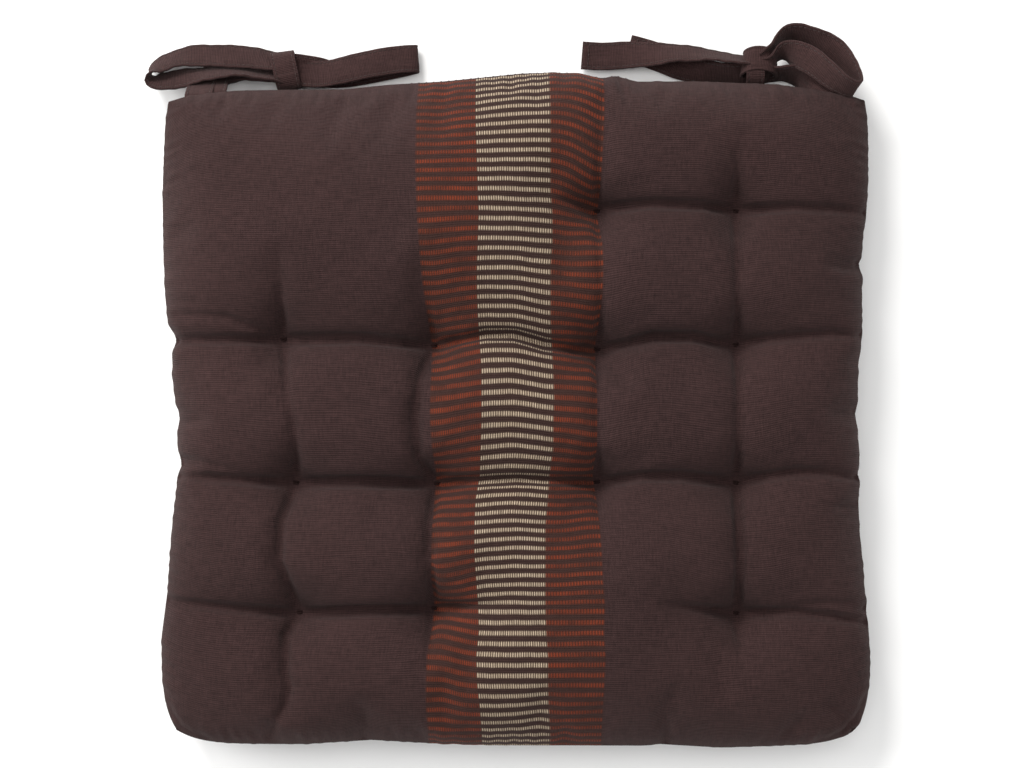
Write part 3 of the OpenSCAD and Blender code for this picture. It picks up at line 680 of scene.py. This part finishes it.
def across_bands(x, y):
    """Flat measure across the cloth, true to where the bands run."""
    e = [np.interp(y, BANDS[:, 0], BANDS[:, k]) for k in (1, 2, 3, 4)]
    f = STRIPE_EDGES
    u = np.where(x < e[0], f[0] + x - e[0], f[3] + x - e[3])
    for k in range(3):
        m = (x >= e[k]) & (x < e[k + 1])
        u = np.where(m, f[k] + (f[k + 1] - f[k]) * (x - e[k]) / (e[k + 1] - e[k]), u)
    return u


V_top = even_rows(top_f, T1, 4 * RI)
V_low = even_rows(low_g_rim, T0, RI)
U_top = across_bands(top_f[..., 0], top_f[..., 1])
cover_top = grid_object("cover_top", top_f, U_top, V_top)
cover_low = grid_object("cover_bottom", low_g_rim, S0, V_low, up=False)
cover_top.data.materials.append(MAT_TOP)
cover_low.data.materials.append(MAT_PLAIN)
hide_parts("top_panel")
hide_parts("bottom_panel")
for ob, name in ((cover_top, "striped_weave"), (cover_low, "brown_weave")):
    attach(ob, "pad")

# filling, a soft mass just inside the cover
kk = slice(3, -3)
up_in = top_g[kk, kk] * 0.76 + low_g[kk, kk] * 0.24
lo_in = top_g[kk, kk] * 0.12 + low_g[kk, kk] * 0.88
pull_in = tuft_pull(up_in[..., 0], up_in[..., 1], 16.0)
up_in[..., 2] = up_in[..., 2] - 5.0 * pull_in - fold_depth(up_in[..., 0], up_in[..., 1], 0.25, 14.0, 1.2)
up_in[..., 2] = np.maximum(up_in[..., 2], lo_in[..., 2] + 4.0)
nt_i, ns_i = up_in.shape[:2]
fill_ids = np.arange(nt_i * ns_i).reshape(nt_i, ns_i)
rim_ids = np.concatenate([fill_ids[0, :-1], fill_ids[:-1, -1], fill_ids[-1, :0:-1], fill_ids[:0:-1, 0]])
q = fill_ids
f_up = np.stack([q[:-1, :-1], q[:-1, 1:], q[1:, 1:], q[1:, :-1]], -1).reshape(-1, 4)
f_lo = np.stack([q[:-1, :-1], q[1:, :-1], q[1:, 1:], q[:-1, 1:]], -1).reshape(-1, 4) + nt_i * ns_i
r2 = np.roll(rim_ids, -1)
f_side = np.stack([rim_ids, rim_ids + nt_i * ns_i, r2 + nt_i * ns_i, r2], -1)
filling = mesh_object("soft_filling", np.concatenate([up_in.reshape(-1, 3), lo_in.reshape(-1, 3)]) * MM,
                      np.concatenate([f_up, f_lo, f_side]))
filling.data.materials.append(MAT_FIBRE)
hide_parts("fibre_filling")
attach(filling, "pad")

# ------------------------------------------------------------ threads and tapes
def tube(path, radius, sides=8, closed=False):
    """Round thread along a path. Returns points and faces."""
    p = np.asarray(path, float)
    n = len(p)
    t = np.roll(p, -1, 0) - np.roll(p, 1, 0)
    if not closed:
        t[0], t[-1] = p[1] - p[0], p[-1] - p[-2]
    t /= np.maximum(np.linalg.norm(t, axis=1, keepdims=True), 1e-9)
    a = np.cross(t[0], (0.31, 0.17, 0.93))
    a /= np.linalg.norm(a)
    r = np.broadcast_to(np.asarray(radius, float), (n,))
    out = []
    for i in range(n):
        a = a - t[i] * (a @ t[i])
        a /= np.linalg.norm(a)
        b = np.cross(t[i], a)
        ang = np.arange(sides) * 2 * math.pi / sides
        out.append(p[i] + r[i] * (np.cos(ang)[:, None] * a + np.sin(ang)[:, None] * b))
    v = np.concatenate(out)
    f = []
    for i in range(n if closed else n - 1):
        i2 = (i + 1) % n
        for k in range(sides):
            k2 = (k + 1) % sides
            f.append((i * sides + k, i * sides + k2, i2 * sides + k2, i2 * sides + k))
    if not closed:
        f.append(tuple(range(sides - 1, -1, -1)))
        f.append(tuple((n - 1) * sides + k for k in range(sides)))
    return v, f


def joined(parts):
    """Several lumps of points and faces as one."""
    vs, fs, n = [], [], 0
    for v, f in parts:
        vs.append(np.asarray(v, float))
        fs += [tuple(i + n for i in q) for q in f]
        n += len(v)
    return np.concatenate(vs), fs


def stitch(a, b, normal, r=0.26):
    """One short stitch from a to b, lying on a surface and dipping in at its ends."""
    a, b, nn = (np.asarray(x, float) for x in (a, b, normal))
    run = [a - nn * 0.45, a + (b - a) * 0.12 + nn * 0.04, a + (b - a) * 0.5 + nn * 0.14,
           a + (b - a) * 0.88 + nn * 0.04, b - nn * 0.45]
    return tube(run, r, 6)


def thread_piece(name, parts, nodes, body, mat=None):
    v, f = joined(parts)
    ob = mesh_object(name, v * MM, f)
    ob.data.materials.append(mat or MAT_THREAD)
    if nodes:
        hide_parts(*nodes)
    if body:
        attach(ob, body)
    return ob


# tufts: two turns of thread pulled down into the top, knotted off underneath
for number, (cc, rr, tx, ty) in enumerate(TUFTS, 1):
    up = top_g[RI[rr], CI[cc]]
    dn = low_g[RI[rr], CI[cc]]
    turn = math.radians(12 * math.sin(number * 2.3))
    ca, sa = math.cos(turn), math.sin(turn)

    def at(x, y, z):
        return (tx + ca * x - sa * y, ty + sa * x + ca * y, z)
    zt, zb = float(top_f[4 * RI[rr], 4 * CI[cc], 2]) - 0.35, dn[2] - 0.35
    parts = []
    for k, off in enumerate((-0.55, 0.55)):
        w = 1.4 + 0.3 * k
        arch = [at(-w * 0.55, off * 0.3, zb + 4), at(-w * 0.8, off * 0.6, zt - 4), at(-w, off, zt - 0.7), at(-w * 0.9, off, zt + 0.5),
                at(-w * 0.4, off * 1.05, zt + 0.95), at(w * 0.4, off * 1.05, zt + 0.95), at(w * 0.9, off, zt + 0.5),
                at(w, off, zt - 0.7), at(w * 0.8, off * 0.6, zt - 4), at(w * 0.55, off * 0.3, zb + 4)]
        parts.append(tube(catmull(arch, 4), 0.48, 8))
        low = [at(-w * 0.55, off * 0.3, zb + 4), at(-w, off, zb + 0.9), at(-w * 0.9, off, zb - 0.4), at(0, off * 1.1, zb - 0.8),
               at(w * 0.9, off, zb - 0.4), at(w, off, zb + 0.9), at(w * 0.55, off * 0.3, zb + 4)]
        parts.append(tube(catmull(low, 4), 0.55, 8))
    ang = np.linspace(0, 4 * math.pi, 40)
    knot = [at(1.15 * math.cos(a), 1.15 * math.sin(a), zb - 1.3 - 0.9 * i / 40) for i, a in enumerate(ang)]
    parts.append(tube(knot, 0.5, 8))
    for sgn in (-1, 1):
        tail = [at(sgn * 0.4, 0.3, zb - 1.6), at(sgn * 2.2, 1.2, zb - 2.4), at(sgn * 4.4, 1.6 * sgn, zb - 2.9),
                at(sgn * 7.0, 3.0 * sgn, zb - 3.4 + 0.6 * sgn)]
        parts.append(tube(catmull(tail, 4), 0.45, 8))
    thread_piece("tuft_%02d" % number, parts, ["tuft_thread_%02d" % number], "pad", mat=MAT_TUFT)

# seam: a short machine stitch all round, showing in the groove
ring = np.concatenate([top_f[0, :-1], top_f[:-1, -1], top_f[-1, :0:-1], top_f[:0:-1, 0]])
ring = np.concatenate([ring, ring[:1]])
run = resample(ring, 3.1)
parts = []
for a, b in zip(run[:-1], run[1:]):
    out = np.cross(b - a, (0, 0, 1.0))
    out /= max(np.linalg.norm(out), 1e-9)
    parts.append(stitch(a + (b - a) * 0.1 - out * 0.3, a + (b - a) * 0.88 - out * 0.3, out, 0.22))
thread_piece("seam_stitches", parts, ["perimeter_seam_thread"], "pad")

# the gap closed by hand at the back, crossing the seam in a ladder
back = top_f[-1]
parts = []
xs = np.arange(-60.0, 66.0, 4.2)
for k, x in enumerate(xs):
    y0 = float(np.interp(x, back[:, 0], back[:, 1]))
    y1 = float(np.interp(x + 1.5, back[:, 0], back[:, 1]))
    parts.append(tube([(x, y0 - 1.0, SEAM_Z - 2.6), (x + 0.2, y0 + 0.0, SEAM_Z - 2.1), (x + 0.75, y0 + 0.1, SEAM_Z - 1.0),
                       (x + 1.3, y1 + 0.0, SEAM_Z + 0.1), (x + 1.5, y1 - 1.0, SEAM_Z + 0.6)], 0.24, 6))
thread_piece("closing_stitches", parts, ["closing_seam_thread"], "pad")

# ---- tapes. Each row is the two edges of the tape in mm: x, y, z then x, y, z.
TAPE_W, TAPE_H = 16.0, 1.6
LEFT_LOOP = [
    (-130, 205.5, 1.5, -128.5, 193.5, 13.5), (-135.5, 206, 2, -135, 194, 14), (-142.5, 206.5, 2.5, -141.5, 194.5, 14.5),
    (-148.5, 208.5, 4, -149, 195, 13), (-160.5, 210, 4.5, -159, 195.5, 13.5), (-174.5, 210, 5, -176.5, 196.5, 14),
    (-185.5, 209.5, 5, -187.5, 196.5, 15), (-195, 207, 4, -196, 195.5, 16), (-203, 203.5, 4, -203.5, 192.5, 17),
    (-208, 200, 4, -208.5, 190, 16), (-209.5, 196.5, 5, -210, 186.5, 18), (-209.5, 195, 5, -209.5, 184.5, 18),
    (-207, 195, 6, -207, 183, 20), (-202.5, 194, 6.5, -203, 182, 19), (-197.5, 194.5, 6.5, -198, 182.5, 18),
    (-191.5, 196, 6.5, -192, 183.5, 18), (-183, 196.5, 6.5, -184.5, 185.5, 19.5), (-170, 196.5, 7, -171, 189, 22),
    (-158.5, 196.5, 5.5, -157, 190.5, 20.5), (-148.5, 195.5, 3.5, -147, 189.5, 18.5), (-141.5, 195.5, 2.5, -140, 188, 17.5),
    (-134.5, 198, 1.5, -133, 186.5, 13.5), (-129, 198, 1, -127.5, 186.5, 13),
]
LEFT_TAIL = [
    (-136, 201.5, 4.5, -134.5, 188, 8), (-130, 200.5, 4.5, -128.5, 187.5, 9), (-124, 200, 5.5, -122.5, 186.5, 10),
    (-112.5, 200, 7, -111, 185, 11.5), (-102, 202, 8, -97.5, 187, 12), (-91, 205, 9, -88, 189, 11.5),
    (-76.5, 207.5, 9, -74.5, 192, 10.5), (-66.5, 209, 8, -64, 193.5, 9.5), (-59, 209.5, 7, -56.5, 194, 8),
    (-56, 209.5, 5, -54.5, 194, 5.5), (-58, 210, 3, -56, 193.5, 3), (-64.5, 208.5, 2, -64.5, 191.5, 2),
    (-77, 205.5, 2, -76, 189.5, 2), (-88.5, 203.5, 1.5, -88.5, 187, 1.5), (-98.5, 202, 1.5, -98.5, 185.5, 1.5),
    (-112.5, 201.5, 2, -111.5, 185.5, 2), (-124, 202, 2, -123, 186, 2), (-134.5, 201.5, 2, -133.5, 186.5, 2),
]
LEFT_FLAP = [
    (-134, 203.5, 6.5, -134, 193, 4.5), (-126, 203.5, 7, -126, 193, 4.5), (-119.5, 202.5, 7, -119.5, 192, 4.5),
    (-112.5, 201.5, 6, -113, 191, 4), (-106, 199, 4.5, -108, 189.5, 3.5), (-100, 197.5, 3, -102, 187.5, 3),
]
LEFT_STRAP_A = [
    (-187, 169, 28.5, -171, 171.5, 28.5), (-187.5, 173.5, 29, -171.5, 176, 29), (-188, 177, 28.5, -172, 179, 28.5),
    (-187.5, 181, 24.5, -172, 182, 24.5), (-186.5, 185, 17, -172, 186, 17), (-185.5, 188.5, 11.5, -171.5, 189.5, 11.5),
    (-182, 193.5, 6, -168.5, 192, 6.5), (-173, 197.5, 3.5, -163, 191.5, 5), (-159, 197.5, 2.5, -156.5, 191, 10),
    (-146, 197, 3.5, -145, 189.5, 13), (-133, 197, 3, -131, 188, 11),
]
LEFT_STRAP_B = [
    (-180, 170.5, 26.5, -164, 172.5, 26.5), (-180, 175, 26.5, -164, 177, 26.5), (-180.5, 178.5, 26, -164.5, 180.5, 26),
    (-179.5, 181.5, 22.5, -164.5, 183.5, 22.5), (-179.5, 186, 14.5, -165, 187, 14.5), (-179, 190, 9, -165, 190, 9),
    (-176.5, 195, 3.5, -164, 192, 4), (-167.5, 200, 2, -158.5, 192, 4.5), (-153, 201, 2, -150.5, 191, 9.5),
    (-141.5, 200.5, 1.5, -140, 189.5, 9), (-133, 200.5, 1.5, -131.5, 188.5, 7),
]
RIGHT_TAIL_1 = [
    (38.5, 212, 4, 38, 196, 4), (50.5, 211, 4.5, 50.5, 195.5, 5), (64, 211.5, 4.5, 64, 196.5, 7),
    (79, 211, 4, 77, 197.5, 10.5), (93, 210, 3.5, 92, 199.5, 14.5), (104.5, 208, 4, 107, 200, 16),
    (113, 206, 5, 117, 200, 17), (122, 204, 6, 125, 199, 17.5), (130.5, 203, 6, 132, 198, 17),
    (139, 203, 5, 140, 196.5, 15),
]
RIGHT_TAIL_2 = [
    (67.5, 216, 2, 63, 200.5, 2), (77.5, 213.5, 2, 72, 198, 2), (88, 209.5, 3, 81, 195, 1.5),
    (97.5, 204.5, 5.5, 91, 192, 1.5), (106, 200.5, 8, 102, 190, 1.5), (114, 198, 10.5, 113.5, 189.5, 2),
    (123, 197, 12, 124, 189, 3), (134, 196.5, 12, 135, 189, 4), (142, 197, 10, 143, 190, 4),
]
RIGHT_LOOP = [
    (140.5, 204, 20, 143, 199, 6), (146, 208.5, 22, 149.5, 204.5, 7), (149.5, 215, 22, 153.5, 210, 8),
    (154.5, 219.5, 22.5, 157.5, 212, 9.5), (161, 220, 22, 161.5, 210.5, 10), (169, 218, 22.5, 167.5, 208, 11.5),
    (179, 214, 24, 174, 203, 15), (187, 208.5, 26.5, 180.5, 196.5, 19.5), (191.5, 200, 32, 185, 189.5, 23),
    (195, 190, 38, 189.5, 182, 27), (195.5, 184.5, 41.5, 191.5, 178.5, 28.5), (192, 184, 43.5, 191.5, 177.5, 29.5),
    (185.5, 188.5, 42, 184.5, 178.5, 31), (177.5, 197.5, 36, 174, 185, 29), (171, 205, 29.5, 165, 191.5, 24.5),
    (163.5, 208.5, 25.5, 158.5, 196, 18.5), (157.5, 209, 23, 153.5, 199, 12), (152, 205.5, 21.5, 149, 201, 7.5),
    (146, 201.5, 20.5, 145.5, 197.5, 5.5), (139.5, 201, 18, 139, 195.5, 4),
]
RIGHT_STRAP_A = [
    (187.5, 169, 28.5, 171.5, 167, 28.5), (187, 174.5, 29, 171, 172.5, 29), (186.5, 178.5, 28.5, 171, 176, 28.5),
    (182, 183, 26.5, 170, 179.5, 26), (175, 187, 24.5, 167.5, 183, 22), (168, 191.5, 24, 165, 186.5, 15),
    (162, 195, 21, 161, 189.5, 8.5), (154, 195.5, 18, 154, 191, 5), (145.5, 195.5, 15, 143.5, 190.5, 4),
    (139, 195.5, 13, 138, 191, 4),
]
RIGHT_STRAP_B = [
    (184.5, 168, 26.5, 168.5, 166.5, 26.5), (183.5, 174, 26.5, 168, 171.5, 26.5), (183, 177, 26, 168, 175, 26),
    (178.5, 182, 23.5, 166.5, 179, 23), (172.5, 186, 20, 165, 183, 17.5), (166, 190.5, 18, 162, 186.5, 9.5),
    (160.5, 193.5, 15.5, 158.5, 189, 4.5), (152.5, 194, 14, 152.5, 190.5, 2), (144.5, 194.5, 12, 144, 190, 2),
    (138, 195, 10, 137.5, 190.5, 2),
]


def tape(name, rows, nodes, body, hem_start=False, hem_end=False, stitch_from=0.0, stitch_to=1.0,
         width=TAPE_W, thick=TAPE_H, both=True, ripple=0.35, seed=0.0):
    """A folded, topstitched tape through the given edges, kept to its own width."""
    r = catmull(rows, 8)
    mid = (r[:, :3] + r[:, 3:]) / 2
    r = resample(np.concatenate([mid, r], 1), 1.9)
    mid, w = r[:, :3], r[:, 6:9] - r[:, 3:6]
    n = len(mid)
    t = np.gradient(mid, axis=0)
    t /= np.maximum(np.linalg.norm(t, axis=1, keepdims=True), 1e-9)
    w = w - t * np.sum(w * t, 1, keepdims=True)
    w /= np.maximum(np.linalg.norm(w, axis=1, keepdims=True), 1e-9)
    for _ in range(3):
        w[1:-1] = (w[:-2] + 2 * w[1:-1] + w[2:]) / 4
        mid[1:-1] = (mid[:-2] + 2 * mid[1:-1] + mid[2:]) / 4
        w /= np.linalg.norm(w, axis=1, keepdims=True)
    f = np.cross(t, w)
    f /= np.maximum(np.linalg.norm(f, axis=1, keepdims=True), 1e-9)
    s = np.concatenate([[0], np.cumsum(np.linalg.norm(np.diff(mid, axis=0), axis=1))])
    total = s[-1]
    half = width / 2
    st = half - 1.6
    prof = [(-half, 0.30), (-half + 0.25, 0.66), (-st - 0.55, 0.82), (-st, 0.52), (-st + 0.6, 0.80), (-half * 0.4, 0.84),
            (0, 0.80), (half * 0.4, 0.84), (st - 0.6, 0.80), (st, 0.52), (st + 0.55, 0.82), (half - 0.25, 0.66), (half, 0.30)]
    prof = [(a, b * thick / 1.6) for a, b in prof]
    m = len(prof)
    verts, uvs = [], []
    for i in range(n):
        # edges ripple a little and the face is not quite flat
        wave = ripple * (math.sin(s[i] * 0.31 + seed) + 0.6 * math.sin(s[i] * 0.83 + 2 * seed))
        cup = 0.35 * math.sin(s[i] * 0.09 + seed)
        for k, (a, h) in enumerate(prof):
            lift = wave * (a / half) ** 2 * (1 if a > 0 else -0.7) + cup * (1 - (a / half) ** 2)
            verts.append(mid[i] + w[i] * a + f[i] * (h + lift))
            uvs.append((a, s[i]))
        for k, (a, h) in reversed(list(enumerate(prof))):
            lift = wave * (a / half) ** 2 * (1 if a > 0 else -0.7) + cup * (1 - (a / half) ** 2)
            verts.append(mid[i] + w[i] * a + f[i] * (-h + lift))
            uvs.append((a + 20, s[i]))
    c = 2 * m
    faces = []
    for i in range(n - 1):
        for k in range(c):
            k2 = (k + 1) % c
            faces.append((i * c + k, (i + 1) * c + k, (i + 1) * c + k2, i * c + k2))
    faces.append(tuple(range(c)))
    faces.append(tuple((n - 1) * c + k for k in range(c - 1, -1, -1)))
    ob = mesh_object(name, np.array(verts) * MM, faces)
    uv = ob.data.uv_layers.new(name="weave")
    flat = np.array(uvs) * MM
    loops = np.empty(len(ob.data.loops), int)
    ob.data.loops.foreach_get("vertex_index", loops)
    uv.data.foreach_set("uv", flat[loops].astype(np.float32).ravel())
    ob.data.materials.append(MAT_TAPE)
    if nodes:
        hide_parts(*nodes)
    # topstitching: short stitches in the two grooves, and across a hemmed end
    v = np.array(verts).reshape(n, c, 3)
    parts = []
    sides = (1, -1) if both else (1,)
    for side in sides:
        for col in (3, m - 4):
            k = col if side > 0 else c - 1 - col
            q = s[0] + 0.8 + total * stitch_from
            end = total * stitch_to - 2.6
            while q < end:
                pa = np.array([np.interp(q, s, v[:, k, d]) for d in range(3)])
                pb = np.array([np.interp(q + 2.1, s, v[:, k, d]) for d in range(3)])
                nn = np.array([np.interp(q + 1, s, f[:, d]) for d in range(3)]) * side
                parts.append(stitch(pa + nn * 0.16, pb + nn * 0.16, nn, 0.23))
                q += 2.75
        for flag, at_s in ((hem_start, 3.2), (hem_end, total - 3.2)):
            if not flag:
                continue
            i = int(np.argmin(np.abs(s - at_s)))
            a = -st + 0.3
            while a < st - 2.0:
                pa = mid[i] + w[i] * a + f[i] * side * 0.9 * thick / 1.6
                pb = mid[i] + w[i] * (a + 2.0) + f[i] * side * 0.9 * thick / 1.6
                parts.append(stitch(pa, pb, f[i] * side, 0.23))
                a += 2.6
    st_ob = None
    if parts:
        st_ob = thread_piece(name + "_stitching", parts, [], None)
    return ob, st_ob


def tied(body, pieces):
    for ob, st in pieces:
        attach(ob, body)
        if st:
            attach(st, body)


left_loop = tape("left_bow_loop", LEFT_LOOP, ["left_tie_loop"], "left_tie", seed=0.4)
left_tail = tape("left_bow_end", LEFT_TAIL, ["left_tie_tape_a"], "left_tie", seed=1.7)
left_flap = tape("left_bow_fold", LEFT_FLAP, [], "left_tie", seed=2.1, width=13.0)
right_tail_1 = tape("right_bow_end_1", RIGHT_TAIL_1, ["right_tie_tape_a"], "right_tie", hem_start=True, seed=0.9)
right_tail_2 = tape("right_bow_end_2", RIGHT_TAIL_2, ["right_tie_tape_b"], "right_tie", hem_start=True, seed=2.6)
right_loop = tape("right_bow_loop", RIGHT_LOOP, ["right_tie_loop"], "right_tie", seed=3.3)

# knots: turns of the same tape drawn tight round the strands
left_knot_rows = []
for k in range(15):
    a = math.radians(100 + k * 360 / 14 * 1.04)
    # an oval turn round the strands, flat below and crowned above
    y = 10.6 * math.copysign(abs(math.cos(a)) ** 0.95, math.cos(a)) - 0.3
    z = 7.4 + 6.6 * math.copysign(abs(math.sin(a)) ** 0.75, math.sin(a))
    cx, cy = -132.0 - 0.22 * y, 195.0 + y
    wx, wy = 8.0, 0.9
    left_knot_rows.append((cx - wx, cy - wy, z + 0.2, cx + wx, cy + wy, z))
left_knot = tape("left_bow_knot", left_knot_rows, ["left_tie_knot"], "left_tie", seed=0.2, width=14.0, thick=1.9, both=False, ripple=0.15)

right_knot_rows = [(138.0, 204.5, 2.5, 136.0, 190.5, 2.5), (133.5, 205.0, 6.5, 130.5, 190.0, 6.5), (131.5, 205.5, 11.5, 128.5, 190.5, 12.0),
                   (134.5, 207.8, 16.0, 131.5, 192.8, 17.0), (140.0, 208.6, 17.6, 138.5, 193.6, 19.2), (145.0, 207.6, 17.0, 145.5, 192.6, 18.4),
                   (148.2, 205.5, 13.5, 149.2, 190.5, 14.0), (148.0, 203.5, 8.0, 148.5, 189.5, 7.5), (144.0, 203.0, 3.0, 144.0, 189.0, 2.5)]
right_knot = tape("right_bow_knot", right_knot_rows, ["right_tie_knot"], "right_tie", seed=1.1, width=14.0, thick=2.0, both=False, ripple=0.15)
right_turn_rows = [(132.5, 205.0, 9.0, 144.5, 206.5, 9.0), (131.5, 200.0, 15.0, 144.0, 202.0, 15.5), (131.0, 195.0, 17.6, 143.0, 197.0, 18.6),
                   (131.5, 190.5, 17.2, 143.0, 191.0, 18.2), (132.0, 186.5, 13.6, 142.5, 186.0, 14.2), (132.5, 184.6, 8.6, 141.5, 184.4, 8.6),
                   (133.0, 186.5, 3.4, 141.5, 186.5, 3.2), (133.5, 191.0, 2.0, 141.5, 191.0, 2.0)]
right_turn = tape("right_bow_turn", right_turn_rows, [], "right_tie", seed=2.3, width=10.5, thick=2.0, both=False, ripple=0.12)
tied("left_tie", [left_loop, left_tail, left_flap, left_knot])
tied("right_tie", [right_tail_1, right_tail_2, right_loop, right_knot, right_turn])
# the raised loop gets a mesh of its own
for ob in right_loop:
    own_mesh(ob)

# straps: from the seam out to the bow, dropping from the seam height along the given edges
straps = (
    ("left_strap_1", LEFT_STRAP_A, ["left_tie_root"], "left_tie", (-0.176, 0.1830, 0.028), (-0.176, 0.1900, 0.026), 0.6),
    ("left_strap_2", LEFT_STRAP_B, ["left_tie_tape_b", "left_tie_stitching"], "left_tie", (-0.176, 0.1830, 0.028), (-0.176, 0.1900, 0.026), 1.9),
    ("right_strap_1", RIGHT_STRAP_A, ["right_tie_root"], "right_tie", (0.180, 0.1825, 0.028), (0.180, 0.1895, 0.026), 2.2),
    ("right_strap_2", RIGHT_STRAP_B, ["right_tie_stitching"], "right_tie", (0.180, 0.1825, 0.028), (0.180, 0.1895, 0.026), 3.1),
)
for name, rows, nodes, body, a, b, seed in straps:
    ob, st = tape(name, rows, nodes, body, seed=seed, ripple=0.25)
    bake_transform(ob)
    if st:
        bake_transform(st)

# ------------------------------------------------------------ floor and finish
bpy.ops.mesh.primitive_plane_add(size=12.0, location=(0, 0, -0.0002))
floor = bpy.context.object
floor.name = "floor"
floor.data.materials.append(floor_material())

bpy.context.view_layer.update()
